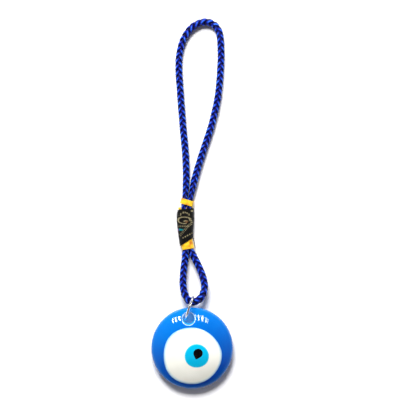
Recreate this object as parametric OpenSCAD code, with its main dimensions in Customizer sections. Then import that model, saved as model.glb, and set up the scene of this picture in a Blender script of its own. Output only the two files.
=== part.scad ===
// Evil eye ornament on a braided cord strap, lying flat on a table.
// Millimetres. +Y runs from the glass eye to the hanging loop and +Z up out of the eye's front.
// The origin is on the table, under the middle of the whole ornament.

/* [Glass disc] */
// Diameter of the disc
disc_d = 33; // [32:0.1:34]
// Thickness of the blue glass at its middle
disc_t = 7.4; // [7:0.1:8]
// Radius of the sphere that the domed front follows
dome_r = 37; // [35:1:40]
// Radius of the rounding at the back edge
back_round = 1.3; // [1:0.1:1.5]
// Radius of the rounding at the front edge
front_round = 1.6; // [1.5:0.1:1.8]
// Diameter of the hanging hole
hole_d = 4.7; // [4.4:0.1:4.9]
// Angle by which the disc leans up against the ring
tilt = 3; // [3:0.1:3.4]

/* [Eye] */
// Diameter of the white drop
white_d = 23.3; // [22:0.1:23.5]
// Diameter of the light-blue drop
iris_d = 9.8; // [9:0.1:10.5]
// Diameter of the round part of the black drop
pupil_d = 3.8; // [3:0.1:4]
// Height of the white drop's crown above the blue dome
white_proud = 0.9; // [0.6:0.1:1.2]

/* [Ring] */
// Outer diameter of the jump ring
ring_d = 10.6; // [10.4:0.1:10.7]
// Thickness of its wire
wire_d = 0.9; // [0.8:0.05:0.9]
// Angle between the ring's plane and the length of the strap
ring_lean = 18.9; // [15:0.1:20]
// Opening where the wire's ends meet
ring_split = 0.2; // [0.1:0.05:0.3]

/* [Cord] */
// Diameter of the braided cord where it is free
cord_d = 2.9; // [2.7:0.05:2.9]
// Diameter of each strand where the binding squeezes it
bound_d = 2.1; // [1.8:0.05:2.1]

/* [Binding] */
// Thickness of the gold thread wound round the strands
thread_wall = 0.36; // [0.3:0.02:0.4]
// Thickness of the brocade
cloth_t = 0.3; // [0.2:0.05:0.35]
// Height of the sleeve above the table
sleeve_h = 3.8; // [3.7:0.05:4.2]

/* [Hidden] */
$fn = 64;
over = 20;                 // how far a cutting shape runs past what it cuts
fit = 0.04;                // room between a winding and what it is wound on

// Places of the disc, its hole and the drops. The drops' places are from the piece below each.
disc_y = -58.2;
hole_at = [-1.4, 12.2];
white_at = [0.4, -2.9];
iris_at = [1.5, 0.3];
pupil_at = [0.6, 0.8];
pupil_tail = [-0.9, -2.5];
disc_r = disc_d / 2;
disc_lift = (disc_r - back_round) * sin(tilt) + back_round * (1 - cos(tilt)) + 0.01;
rim_z = sqrt(pow(dome_r - front_round, 2) - pow(disc_r - front_round, 2)) + disc_t - dome_r;

// A drop is a short plug with a domed top, set in a round surface of radius surf:
// [plan radius, radius of the surface it sits in, crown above it, step at its edge, depth of plug]
white = [white_d / 2, dome_r, white_proud, 0.15, 0.9];
iris = [iris_d / 2, drop_dome(white), 0.25, 0.05, 0.8];
pupil = [pupil_d / 2, drop_dome(iris), 0.2, 0.03, 0.6];
function edge_z(d) = sqrt(pow(d[1], 2) - pow(d[0], 2));
function rise(d) = d[1] + d[2] - edge_z(d) - d[3];
function drop_dome(d) = (pow(d[0], 2) + pow(rise(d), 2)) / (2 * rise(d));
function drop_centre(d) = d[1] + d[2] - drop_dome(d);
function aim(at, r) = [asin(-at[1] / r), asin(at[0] / r), 0];

// The ring stands on its edge on the table.
ring_r = (ring_d - wire_d) / 2;
ring_at = [-1.2, -42.0, ring_d / 2];
split_angle = 55;          // of the split, up from the side that holds the cord
split_turn = 2 * asin(ring_split / 2 / ring_r);

// The binding holds both strands side by side at this height.
bind_z = sleeve_h / 2;
strand_gap = 2.2;          // between the two strands' middles in the binding
bind_low = -19;            // the strands are squeezed between these two places
bind_high = 3;
low_ease = 4.5;            // the cord gets its full thickness back over these lengths
high_ease = 8;

// The cord's middle, from its cut end in the sleeve round the hanging loop, back through the
// sleeve, round the small loop and into the sleeve again, where the two cut ends meet.
ROUTE = [
  [-3.6, -8.6, 1.9], [-3.3, -2.0, 1.9], [-2.8, 3.5, 1.8], [-2.4, 10.0, 1.5],
  [-2.7, 20.0, 1.5], [-3.7, 31.0, 1.5], [-4.7, 44.0, 1.5], [-5.4, 55.0, 1.5],
  [-4.9, 61.5, 1.5], [-3.2, 66.8, 1.5], [0.0, 71.1, 1.5], [4.5, 73.3, 1.5],
  [8.6, 72.4, 1.5], [11.0, 69.0, 1.5], [11.6, 63.0, 1.5], [11.5, 55.0, 1.5],
  [10.4, 43.0, 1.5], [7.8, 31.5, 1.5], [4.3, 20.8, 1.5], [1.5, 11.5, 1.6],
  [0.0, 5.0, 1.8], [-1.0, 0.0, 1.9], [-1.3, -6.0, 1.9], [-1.3, -12.0, 1.9],
  [-0.8, -17.5, 1.9], [0.5, -21.0, 2.1], [2.5, -25.0, 2.5], [4.3, -29.5, 3.1],
  [5.0, -34.0, 3.7], [3.8, -37.6, 4.2], [1.7, -39.3, 4.4], [-0.4, -39.6, 4.5],
  [-2.3, -38.0, 4.3], [-3.4, -34.7, 3.8], [-3.7, -31.0, 3.3], [-3.4, -26.5, 2.7],
  [-2.8, -21.5, 2.1], [-3.0, -17.0, 1.9], [-3.5, -13.0, 1.9], [-3.6, -9.2, 1.9]];
TAIL = [[1.0, -13.2, 2.4], [1.1, -14.8, 2.2], [1.2, -16.4, 1.5], [1.3, -17.8, 0.6]];
STRAY = [[-6.5, -2.9, 2.2], [-6.9, -2.5, 1.8], [-7.5, -2.3, 1.0], [-8.0, -2.5, 0.3]];
tail_d = 0.35;
stray_d = 0.2;

// A smooth curve through points: p[i] to p[i + 1], t from 0 to 1.
function last(p) = len(p) - 1;
function spline(p, i, t) =
  let (a = p[max(i - 1, 0)], b = p[i], c = p[i + 1], d = p[min(i + 2, last(p))])
  b + t / 2 * (c - a + t * (2 * a - 5 * b + 4 * c - d + t * (3 * b - 3 * c + d - a)));
function curve(p, cuts) = [for (i = [0:last(p) - 1], k = [0:cuts - 1]) spline(p, i, k / cuts),
                           p[last(p)]];
function unit(v) = v / norm(v);
function along(p, i) = unit(p[min(i + 1, last(p))] - p[max(i - 1, 0)]);
function ease(x) = min(max(x, 0), 1);
function cord_r(y) = (bound_d + (cord_d - bound_d) * ease(max((bind_low - y) / low_ease,
                      (y - bind_high) / high_ease))) / 2;

// One ring of points round a line that runs nearly level, with a flat side underneath.
function round_at(at, way, r, sides) =
  let (side = unit(cross(way, [0, 0, 1])), up = cross(side, way), out = r / cos(180 / sides))
  [for (k = [0:sides - 1]) let (a = (k + 0.5) * 360 / sides - 90)
    at + out * (cos(a) * side + sin(a) * up)];

// A tube of radii r, one for each of the points p.
module tube(p, r, sides = 8) {
  points = [for (i = [0:last(p)]) each round_at(p[i], along(p, i), r[i], sides)];
  skin = [for (i = [0:last(p) - 1], k = [0:sides - 1]) let (n = (k + 1) % sides)
    [i * sides + k, i * sides + n, (i + 1) * sides + n, (i + 1) * sides + k]];
  ends = [[for (k = [sides - 1:-1:0]) k], [for (k = [0:sides - 1]) last(p) * sides + k]];
  polyhedron(points, concat(skin, ends), convexity = 6);
}

module cord() {
  line = curve(ROUTE, 2);
  color([0.05, 0.12, 0.75]) tube(line, [for (p = line) cord_r(p[1])]);
}

// A flat outline with round ends, as two strands side by side make.
module slot(w, h) {
  square([w - h, h], center = true);
  for (s = [-1, 1]) translate([s * (w - h) / 2, 0]) circle(d = h);
}

// A band of thread round both strands: its middle, its width and length, its turn in the
// table's plane, and how far its outside lies to the left of the strands.
module band(at, length, turn = 0, left = 0) {
  inner = [(strand_gap + bound_d) / cos(turn) + 2 * fit, bound_d / cos(180 / 8) + 2 * fit];
  outer = inner + 2 * [thread_wall, thread_wall];
  translate([at[0], at[1], bind_z]) rotate([90, 0, turn])
    linear_extrude(length, center = true) difference() {
      translate([-left / 2, 0]) slot(outer[0] + left, outer[1]);
      slot(inner[0], inner[1]);
    }
}

module end_binding() { color([0.85, 0.82, 0.72]) band([-2.5, -8.9], 5); }
module whip_top() { color([1, 0.8, 0.1]) band([-1.85, 0.6], 2.3, -15); }
module whip_collar() { color([1, 0.8, 0.1]) band([-2.2, -2.6], 2.2, 6, 0.8); }
module whip_bottom() { color([1, 0.8, 0.1]) band([-2.0, -16.6], 3.6, 11); }

// The sleeve is a flattened tube, wider at its mouth, with a slanted lower edge. Its skin runs
// down the outside, across the lower edge, up the inside and across the mouth.
sleeve_top = [-2.75, -2.1, 7.1];     // middle x, place y and width of the mouth
sleeve_low = [-2.15, -16.0, 5.9];    // the same at the lower end
sleeve_slant = 27;                   // of the lower edge
sleeve_sides = 40;
function slot_ring(end, cloth, slant) =
  let (h = sleeve_h - 2 * cloth, reach = (end[2] - 2 * cloth - h) / 2)
  [for (k = [0:sleeve_sides - 1])
    let (a = (k + 0.5) * 360 / sleeve_sides, x = sign(cos(a)) * reach + cos(a) * h / 2)
    [end[0] + x, end[1] + x * tan(slant), bind_z + sin(a) * h / 2]];
module brocade_sleeve() {
  rings = [slot_ring(sleeve_top, 0, 0), slot_ring(sleeve_low, 0, sleeve_slant),
           slot_ring(sleeve_low, cloth_t, sleeve_slant), slot_ring(sleeve_top, cloth_t, 0)];
  skin = [for (i = [0:3], k = [0:sleeve_sides - 1], half = [0, 1])
    let (n = (k + 1) % sleeve_sides, here = i * sleeve_sides, next = (i + 1) % 4 * sleeve_sides)
    half == 0 ? [here + k, here + n, next + n] : [here + k, next + n, next + k]];
  color([0.08, 0.08, 0.07]) polyhedron([for (r = rings) each r], skin, convexity = 6);
}

module thread_tail() {
  line = curve(TAIL, 3);
  color([0.06, 0.06, 0.06]) tube(line, [for (p = line) tail_d / 2]);
}
module stray_thread() {
  line = curve(STRAY, 3);
  color([0.6, 0.6, 0.62]) tube(line, [for (p = line) stray_d / 2]);
}

module jump_ring() {
  color([0.8, 0.8, 0.82]) translate(ring_at) rotate([90, 0, 90 - ring_lean])
    rotate([0, 0, split_angle + split_turn / 2])
      rotate_extrude(angle = 360 - split_turn) translate([ring_r, 0]) circle(d = wire_d, $fn = 32);
}

// The frames that the glass pieces are set in, each inside the one before.
module on_disc() { translate([0, disc_y, disc_lift]) rotate([tilt, 0, 0]) children(); }
module on_dome() { on_disc() translate([0, 0, disc_t - dome_r]) rotate(aim(white_at, dome_r)) children(); }
module on_white() {
  on_dome() translate([0, 0, drop_centre(white)]) rotate(aim(iris_at, drop_dome(white))) children();
}
module on_iris() {
  on_white() translate([0, 0, drop_centre(iris)]) rotate(aim(pupil_at, drop_dome(iris))) children();
}

// The plan of each drop, and the drop with its domed top.
module round_plan(d) { circle(d[0]); }
module tear_plan(d) {
  away = norm(pupil_tail);
  turn = atan2(pupil_tail[1], pupil_tail[0]);
  touch = acos(d[0] / away);         // where the tail's sides leave the round part
  side = 0.97 * d[0] * [cos(touch), sin(touch)];
  circle(d[0]);
  rotate(turn) polygon([[away, 0], side, [0, 0], [side[0], -side[1]]]);
}
module plug(d) { translate([0, 0, edge_z(d) - d[4]]) linear_extrude(over) children(); }
module drop(d) {
  intersection() {
    plug(d) children();
    translate([0, 0, drop_centre(d)]) sphere(drop_dome(d), $fn = 128);
  }
}

module disc_profile() {
  intersection() {
    union() {
      square([disc_r - front_round, over]);
      square([disc_r - back_round, rim_z]);
      translate([0, back_round]) square([disc_r, rim_z - back_round]);
      translate([disc_r - back_round, back_round]) circle(back_round);
      translate([disc_r - front_round, rim_z]) circle(front_round);
    }
    translate([0, disc_t - dome_r]) circle(dome_r, $fn = 256);
  }
}
module glass_disc() {
  color([0.05, 0.5, 0.95]) difference() {
    on_disc() difference() {
      rotate_extrude($fn = 128) disc_profile();
      translate([hole_at[0], hole_at[1], -over / 2]) cylinder(d = hole_d, h = over);
      translate([hole_at[0], hole_at[1], -0.01]) cylinder(d1 = hole_d + 0.8, d2 = hole_d, h = 0.41);
    }
    on_dome() plug(white) round_plan(white);
  }
}
module eye_white() {
  color([0.95, 0.95, 0.9]) difference() {
    on_dome() drop(white) round_plan(white);
    on_white() plug(iris) round_plan(iris);
  }
}
module eye_iris() {
  color([0.1, 0.8, 1]) difference() {
    on_white() drop(iris) round_plan(iris);
    on_iris() plug(pupil) tear_plan(pupil);
  }
}
module eye_pupil() { color([0.02, 0.02, 0.03]) on_iris() drop(pupil) tear_plan(pupil); }

cord();
end_binding();
whip_top();
whip_collar();
whip_bottom();
brocade_sleeve();
thread_tail();
stray_thread();
jump_ring();
glass_disc();
eye_white();
eye_iris();
eye_pupil();
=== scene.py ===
# %% [markdown]
# # An evil eye ornament on a braided strap
#
# A domed blue glass eye hangs by a wire ring from a braided cord. The cord makes a long hanging
# loop and a small loop, and both are tied off under a brocade sleeve with gold thread at its ends.
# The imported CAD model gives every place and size. It is loaded first and never moved, and each
# piece below is built round it in metres, with its place in its own mesh.

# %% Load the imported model
import math

import bmesh
import bpy
from mathutils import Matrix, Vector


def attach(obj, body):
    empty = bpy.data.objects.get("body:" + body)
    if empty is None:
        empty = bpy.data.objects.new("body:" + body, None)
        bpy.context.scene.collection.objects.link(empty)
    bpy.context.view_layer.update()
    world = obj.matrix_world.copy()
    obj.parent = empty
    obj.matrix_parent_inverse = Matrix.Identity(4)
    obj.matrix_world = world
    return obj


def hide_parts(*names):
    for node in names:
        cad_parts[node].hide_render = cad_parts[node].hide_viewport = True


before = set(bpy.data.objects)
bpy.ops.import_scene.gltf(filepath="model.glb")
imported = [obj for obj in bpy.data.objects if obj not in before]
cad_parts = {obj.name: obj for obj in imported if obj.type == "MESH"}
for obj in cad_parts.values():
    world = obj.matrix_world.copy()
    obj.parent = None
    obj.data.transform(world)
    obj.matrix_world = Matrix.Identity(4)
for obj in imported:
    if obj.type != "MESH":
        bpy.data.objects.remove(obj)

MM = 0.001
TURN = math.tau  # a whole turn, in radians
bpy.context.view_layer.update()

# %% [markdown]
# ## The camera
#
# The ornament lies on a table and is seen from straight above. A long lens keeps the dome and the
# cord from leaning outwards, so the camera stands well back.

# %% Camera straight above the table
LENS = 250
SENSOR = 36
VIEW_WIDTH = 167.8 * MM  # of the table, at the height of the cord
VIEW_MIDDLE = (6.4 * MM, -1.8 * MM)
LOOK_HEIGHT = 3.5 * MM

camera_data = bpy.data.cameras.new("camera")
camera_data.lens = LENS
camera_data.sensor_width = SENSOR
camera_data.clip_start = 0.01
camera_data.clip_end = 20
camera = bpy.data.objects.new("camera", camera_data)
camera.location = (*VIEW_MIDDLE, LOOK_HEIGHT + VIEW_WIDTH * LENS / SENSOR)
bpy.context.scene.collection.objects.link(camera)
bpy.context.scene.camera = camera
print("camera height in mm:", round(camera.location.z / MM, 1))

# %% [markdown]
# ## Writing node trees as sums
#
# Both geometry trees and shader trees are sums on numbers. A `Signal` wraps one output socket, so
# `1 - mask` adds a Math node by itself. A `Graph` wraps a tree and makes every other node with one
# method: first the node's settings, then the values or links of its sockets.


# %% A socket that can be summed
def pick(sockets, key):
    """A socket by its number, identifier or name."""
    if isinstance(key, int):
        return sockets[key]
    for socket in sockets:
        if socket.identifier == key:
            return socket
    return sockets[key]


def operator_pair(operation):
    """An operator and its reflected twin, for a number on the left."""
    return (lambda self, other: self.graph.maths(operation, self, other),
            lambda self, other: self.graph.maths(operation, other, self))


class Signal:
    """One output socket, whose operators add Math nodes."""

    __add__, __radd__ = operator_pair("ADD")
    __sub__, __rsub__ = operator_pair("SUBTRACT")
    __mul__, __rmul__ = operator_pair("MULTIPLY")
    __truediv__, __rtruediv__ = operator_pair("DIVIDE")
    __pow__, __rpow__ = operator_pair("POWER")
    __gt__, __lt__ = operator_pair("GREATER_THAN")

    def __init__(self, graph, socket):
        self.graph = graph
        self.socket = socket

    def __neg__(self):
        return self * -1.0

    def out(self, name):
        return Signal(self.graph, pick(self.socket.node.outputs, name))

    def maths(self, operation, *others):
        return self.graph.maths(operation, self, *others)


class Graph:
    """A node tree, with one method for any node."""

    def __init__(self, tree):
        self.tree = tree

    def node(self, kind, settings=None, sockets=None, out=0):
        made = self.tree.nodes.new(kind)
        for key, value in (settings or {}).items():
            setattr(made, key, value)
        for key, value in (sockets or {}).items():
            socket = pick(made.inputs, key)
            if isinstance(value, Signal):
                self.tree.links.new(value.socket, socket)
            else:
                socket.default_value = value
        return Signal(self, pick(made.outputs, out)) if made.outputs else None

    def maths(self, operation, *values):
        return self.node("ShaderNodeMath", {"operation": operation}, dict(enumerate(values)))

    def vector(self, operation, *values):
        out = "Value" if operation in ("DOT_PRODUCT", "LENGTH", "DISTANCE") else "Vector"
        sockets = dict(enumerate(values))
        if operation == "SCALE":
            sockets = {0: values[0], "Scale": values[1]}
        return self.node("ShaderNodeVectorMath", {"operation": operation}, sockets, out)

    def walk(self, start, *steps):
        """A place, with each (direction, length) step added to it."""
        for direction, length in steps:
            start = self.vector("ADD", start, self.vector("SCALE", direction, length))
        return start

    def round_parts(self, angle):
        """The cosine and sine of an angle in radians."""
        return self.maths("COSINE", angle), self.maths("SINE", angle)

    def combine(self, x, y, z):
        return self.node("ShaderNodeCombineXYZ", None, {"X": x, "Y": y, "Z": z})

    def split(self, vector):
        parts = self.node("ShaderNodeSeparateXYZ", None, {0: vector})
        return parts.out("X"), parts.out("Y"), parts.out("Z")

    def clamp(self, value, low=0.0, high=1.0):
        return self.maths("MAXIMUM", self.maths("MINIMUM", value, high), low)


print("node helpers ready")

# %% [markdown]
# ## Sweeping a section with Geometry Nodes
#
# Cord strands, thread turns and stray threads are the same job: a small round section carried
# along a path. The tree makes a flat grid whose long side is the path and whose short side is the
# way round the section, copies it for each strand, and moves every point into place. The grid
# keeps its UV map, so a fibre pattern can follow the thread, and each point keeps its level, which
# says how far out its strand lies there. The grid's long edges are then merged.


# %% The tree that sweeps a grid
SEAM_GAP = 1e-6  # metres, between points that are merged
END_STEEP = 10000.0  # so steep that only a strand's end rings shrink, to a point


def swept_tree(name, sizes, place):
    """A tree with named inputs. place(graph, given, run, along) gives the section's middle, its
    two (direction, half size) axes and its level there."""
    tree = bpy.data.node_groups.new(name, "GeometryNodeTree")
    tree.interface.new_socket("Geometry", in_out="OUTPUT", socket_type="NodeSocketGeometry")
    common = {"Runs": "Int", "Steps": "Int", "Sides": "Int", "Material": "Material"}
    for label, kind in {**common, **sizes}.items():
        tree.interface.new_socket(label, in_out="INPUT", socket_type="NodeSocket" + kind)
    g = Graph(tree)

    def store(geometry, kind, domain, label, value):
        return g.node("GeometryNodeStoreNamedAttribute", {"data_type": kind, "domain": domain},
                      {"Geometry": geometry, "Name": label, "Value": value})

    given = g.node("NodeGroupInput")
    grid = g.node("GeometryNodeMeshGrid", None, {
        "Size X": 1.0, "Size Y": 1.0,
        "Vertices X": given.out("Steps"), "Vertices Y": given.out("Sides")})
    mapped = store(grid, "FLOAT2", "CORNER", "UVMap", grid.out("UV Map"))
    starts = g.node("GeometryNodeMeshLine", None,
                    {"Count": given.out("Runs"), "Offset": (0.0, 0.0, 0.0)})
    copies = g.node("GeometryNodeInstanceOnPoints", None, {"Points": starts, "Instance": mapped})
    numbered = store(copies, "FLOAT", "INSTANCE", "run", g.node("GeometryNodeInputIndex"))
    real = g.node("GeometryNodeRealizeInstances", None, {"Geometry": numbered})
    across, down = g.split(g.node("GeometryNodeInputPosition"))[:2]
    run = g.node("GeometryNodeInputNamedAttribute", {"data_type": "FLOAT"}, {"Name": "run"})
    along = across + 0.5
    cos, sin = g.round_parts((down + 0.5) * TURN)
    ends = g.clamp(along * END_STEEP) * g.clamp((1.0 - along) * END_STEEP)
    middle, (first, wide), (second, tall), level = place(g, given, run, along)
    where = g.walk(middle, (first, cos * wide * ends), (second, sin * tall * ends))
    marked = store(real, "FLOAT", "POINT", "level", level)
    swept = g.node("GeometryNodeSetPosition", None, {"Geometry": marked, "Position": where})
    closed = g.node("GeometryNodeMergeByDistance", None, {"Geometry": swept, "Distance": SEAM_GAP})
    smooth = g.node("GeometryNodeSetShadeSmooth", None, {"Geometry": closed})
    plain = g.node("GeometryNodeRealizeInstances", None, {"Geometry": smooth})
    finished = g.node("GeometryNodeSetMaterial", None,
                      {"Geometry": plain, "Material": given.out("Material")})
    g.node("NodeGroupOutput", None, {"Geometry": finished})
    return tree


def link(made):
    bpy.context.scene.collection.objects.link(made)
    return made


def grow(name, tree, values):
    """Runs a tree on an empty mesh and returns the result as a plain mesh object."""
    seed = link(bpy.data.objects.new(name + "_seed", bpy.data.meshes.new(name + "_seed")))
    modifier = seed.modifiers.new("nodes", "NODES")
    modifier.node_group = tree
    for item in tree.interface.items_tree:
        if item.in_out == "INPUT" and item.name in values:
            modifier[item.identifier] = values[item.name]
    found = seed.evaluated_get(bpy.context.evaluated_depsgraph_get())
    mesh = bpy.data.meshes.new_from_object(found)
    seed.modifiers.remove(modifier)
    bpy.data.objects.remove(seed)
    mesh.name = name
    return link(bpy.data.objects.new(name, mesh))


def path_frame(g, given, length):
    """The place at a length along the tree's path, and the ways ahead, aside and up there."""
    path = g.node("GeometryNodeObjectInfo", None, {"Object": given.out("Path")}, "Geometry")
    sample = g.node("GeometryNodeSampleCurve", {"mode": "LENGTH"},
                    {"Curves": path, "Length": length}, "Position")
    ahead = sample.out("Tangent")
    side = g.vector("NORMALIZE", g.vector("CROSS_PRODUCT", ahead, (0.0, 0.0, 1.0)))
    return sample, ahead, side, g.vector("CROSS_PRODUCT", side, ahead)


def join_model(piece, body, node):
    """Hangs a piece under its body and hides the CAD node that it stands for."""
    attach(piece, body)
    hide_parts(node)
    print(piece.name, "has", len(piece.data.polygons), "faces")


print("sweep tree ready")

# %% [markdown]
# ## The cord's line
#
# The cord is one length. It starts at its cut end inside the sleeve, goes up round the hanging
# loop, back down through the sleeve, round the small loop and into the sleeve again. These are
# the same points that the CAD solid follows, with a smooth curve through them.

# %% Points of the cord
ROUTE = [
    (-3.6, -8.6, 1.9), (-3.3, -2.0, 1.9), (-2.8, 3.5, 1.8), (-2.4, 10.0, 1.5),
    (-2.7, 20.0, 1.5), (-3.7, 31.0, 1.5), (-4.7, 44.0, 1.5), (-5.4, 55.0, 1.5),
    (-4.9, 61.5, 1.5), (-3.2, 66.8, 1.5), (0.0, 71.1, 1.5), (4.5, 73.3, 1.5),
    (8.6, 72.4, 1.5), (11.0, 69.0, 1.5), (11.6, 63.0, 1.5), (11.5, 55.0, 1.5),
    (10.4, 43.0, 1.5), (7.8, 31.5, 1.5), (4.3, 20.8, 1.5), (1.5, 11.5, 1.6),
    (0.0, 5.0, 1.8), (-1.0, 0.0, 1.9), (-1.3, -6.0, 1.9), (-1.3, -12.0, 1.9),
    (-0.8, -17.5, 1.9), (0.5, -21.0, 2.1), (2.5, -25.0, 2.5), (4.3, -29.5, 3.1),
    (5.0, -34.0, 3.7), (3.8, -37.6, 4.2), (1.7, -39.3, 4.4), (-0.4, -39.6, 4.5),
    (-2.3, -38.0, 4.3), (-3.4, -34.7, 3.8), (-3.7, -31.0, 3.3), (-3.4, -26.5, 2.7),
    (-2.8, -21.5, 2.1), (-3.0, -17.0, 1.9), (-3.5, -13.0, 1.9), (-3.6, -9.2, 1.9)]
TAIL = [(0.5, -13.9, 2.7), (0.72, -15.0, 2.5), (0.95, -16.4, 1.8), (1.2, -17.9, 0.7)]
STRAY = [(-5.9, -2.8, 2.1), (-6.5, -2.45, 2.1), (-7.2, -2.15, 1.2), (-7.9, -2.2, 0.35)]


def smooth_line(points, cuts):
    """A smooth curve through points, in metres, with so many steps between two of them."""
    points = [Vector(p) * MM for p in points]
    line = []
    for i in range(len(points) - 1):
        a = points[max(i - 1, 0)]
        b = points[i]
        c = points[i + 1]
        d = points[min(i + 2, len(points) - 1)]
        for k in range(cuts):
            t = k / cuts
            bend = 2 * a - 5 * b + 4 * c - d + t * (3 * b - 3 * c + d - a)
            line.append(b + t / 2 * (c - a + t * bend))
    return [*line, points[-1]]


def line_length(line):
    return sum((b - a).length for a, b in zip(line, line[1:]))


def line_object(name, line):
    """A poly curve that a tree can sample. It is removed once the pieces are made."""
    data = bpy.data.curves.new(name, "CURVE")
    data.dimensions = "3D"
    spline = data.splines.new("POLY")
    spline.points.add(len(line) - 1)
    for point, place in zip(spline.points, line):
        point.co = (*place, 1.0)
    return link(bpy.data.objects.new(name, data))


CUTS = 10
cord_line = smooth_line(ROUTE, CUTS)
cord_length = line_length(cord_line)
print("cord length in mm:", round(cord_length / MM, 1), "with", len(cord_line), "points")

# %% [markdown]
# ## The braid
#
# The cord is a round braid of eight silky strands, four wound each way, and each strand passes
# over two others and then under two. From above that shows as two columns of slanting floats that
# meet like a row of arrowheads. A strand's angle round the cord grows steadily along the cord.
# Its distance from the middle swings out and in with that same angle, so the strands of one way
# are outside in two quarters of the round and those of the other way in the other two. Where the
# cord runs down instead of up, the quarters are turned by a right angle, so that the arrowheads
# still point to the hanging loop. Both turns are made slowly, at the top and the foot.

# %% Sizes of the braid
BOUND_D = 2.1 * MM  # where the binding squeezes it
STRANDS = 8
STRAND_SIDES = 9
CROWN_FLAT = 0.16  # share of a faster wave that flattens the crowns
UNEVEN = 0.1  # share by which a strand wanders and thickens
WANDER_SCALE = 300.0  # of that unevenness, per metre
STRAND_APART = 7.3  # keeps one strand's unevenness off the next one's
STEP = 0.33 * MM


def length_to(index):
    """Length along the cord to one of the route's points."""
    return line_length(cord_line[:index * CUTS + 1])


BRAID = {
    "Length": cord_length,
    "Lay": 9.8 * MM,  # length of one turn of a strand
    "Bound from": -19 * MM,  # between these heights the binding squeezes the cord
    "Bound to": 3 * MM,
    "Low ease": 1.7 * MM,
    "High ease": 4.5 * MM,
    "Bound share": 0.77,  # of its full thickness, as the loose strands show it there
    "Mean out": 0.9 * MM,  # mean distance of a strand from the cord's middle
    "Swing": 0.29 * MM,  # in and out of that
    "Strand width": 0.69 * MM,  # half sizes of a strand's section
    "Strand height": 0.4 * MM,
    "Top from": length_to(8), "Top run": length_to(13) - length_to(8),
    "Foot from": length_to(28), "Foot run": length_to(33) - length_to(28)}
print("length of the cord's quarter turns in mm:", round(BRAID["Top run"] / MM, 1), "and",
      round(BRAID["Foot run"] / MM, 1))


# %% The braid's tree
def lift_of(angle):
    """Rises and falls twice a turn, with a flat crown."""
    return (angle * 2.0).maths("SINE") + (angle * 6.0).maths("SINE") * CROWN_FLAT


def braid_place(g, given, run, along):
    length = along * given.out("Length")
    sample, ahead, side, up = path_frame(g, given, length)
    y = g.split(sample)[1]
    low = (given.out("Bound from") - y) / given.out("Low ease")
    high = (y - given.out("Bound to")) / given.out("High ease")
    free = g.clamp(low.maths("MAXIMUM", high))
    squeeze = given.out("Bound share") + (1.0 - given.out("Bound share")) * free
    way = (run.maths("MODULO", 2.0) * -2.0) + 1.0  # even strands one way, odd the other
    angle = run * (TURN / STRANDS) + way * (length / given.out("Lay") * TURN)
    top = g.clamp((length - given.out("Top from")) / given.out("Top run"))
    foot = g.clamp((length - given.out("Foot from")) / given.out("Foot run"))
    quarter = (top + foot) * (math.pi / 2)
    lift = lift_of(angle - quarter) * way
    wander = g.node("ShaderNodeTexNoise", {"noise_dimensions": "2D"}, {
        "Vector": g.combine(length * WANDER_SCALE, run * STRAND_APART, 0.0), "Scale": 1.0,
        "Detail": 1.0})
    uneven = (wander - 0.5) * UNEVEN
    out = (given.out("Mean out") + (lift + uneven) * given.out("Swing")) * squeeze
    cos, sin = g.round_parts(angle)
    radial = g.walk(g.vector("SCALE", side, cos), (up, sin))
    round_way = g.walk(g.vector("SCALE", side, -sin), (up, cos))
    slope = out * way / given.out("Lay") * TURN
    flank = g.vector("NORMALIZE", g.vector("SUBTRACT", g.vector("SCALE", ahead, slope), round_way))
    size = squeeze * (uneven + 1.0)
    return (g.walk(sample, (radial, out)), (flank, given.out("Strand width") * size),
            (radial, given.out("Strand height") * size), lift * 0.5 + 0.5)


braid_tree = swept_tree("braid", {"Path": "Object", **dict.fromkeys(BRAID, "Float")}, braid_place)
print("braid tree has", len(braid_tree.nodes), "nodes")

# %% [markdown]
# ## Finishes: the common part
#
# Every finish is a Principled shader. The colour, the roughness and the bump are worked out over
# the surface, and everything that is the same all over is set on the shader's own sockets.


# %% A finish from its sums
def linear(r, g, b):
    """A colour given as it looks on a screen, from 0 to 255, as the shader needs it."""
    parts = [v / 255 for v in (r, g, b)]
    return tuple(v / 12.92 if v <= 0.04045 else ((v + 0.055) / 1.055) ** 2.4 for v in parts) + (1.0,)


def finish_of(name, paint, **constants):
    """A material. paint(graph) gives the sockets that change over the surface and 'bump'."""
    material = bpy.data.materials.new(name)
    material.use_nodes = True
    tree = material.node_tree
    tree.nodes.clear()
    g = Graph(tree)
    sockets = paint(g)
    height = sockets.pop("bump", None)
    if height is not None:
        depth = sockets.pop("bump_depth", 0.0001)
        sockets["Normal"] = g.node("ShaderNodeBump", None, {
            "Strength": 1.0, "Distance": depth, "Height": height})
    shader = g.node("ShaderNodeBsdfPrincipled", None, {**constants, **sockets})
    g.node("ShaderNodeOutputMaterial", None, {"Surface": shader})
    return material


def noise(g, vector, scale, detail=2.0, rough=0.5, swirl=0.0):
    return g.node("ShaderNodeTexNoise", None, {
        "Vector": vector, "Scale": scale, "Detail": detail, "Roughness": rough, "Distortion": swirl})


def colour_of(value):
    """A signal as it is, or a screen colour as the shader needs it."""
    return value if isinstance(value, Signal) else linear(*value)


def blend_colour(g, share, a, b):
    return g.node("ShaderNodeMix", {"data_type": "RGBA"}, {
        "Factor_Float": share, "A_Color": colour_of(a), "B_Color": colour_of(b)}, "Result_Color")


def colour_ramp(g, share, stops):
    """A colour for each share, through (place, screen colour) stops from 0 to 1."""
    colour = g.node("ShaderNodeValToRGB", None, {"Fac": share}, "Color")
    ramp = colour.socket.node.color_ramp
    ramp.elements[0].color = linear(*stops[0][1])
    ramp.elements[1].color = linear(*stops[-1][1])
    for place, shade in stops[1:-1]:
        ramp.elements.new(place).color = linear(*shade)
    return colour


def object_place(g):
    return g.node("ShaderNodeTexCoord", None, None, "Object")


def uv_parts(g):
    return g.split(g.node("ShaderNodeUVMap", {"uv_map": "UVMap"}))[:2]


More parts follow.
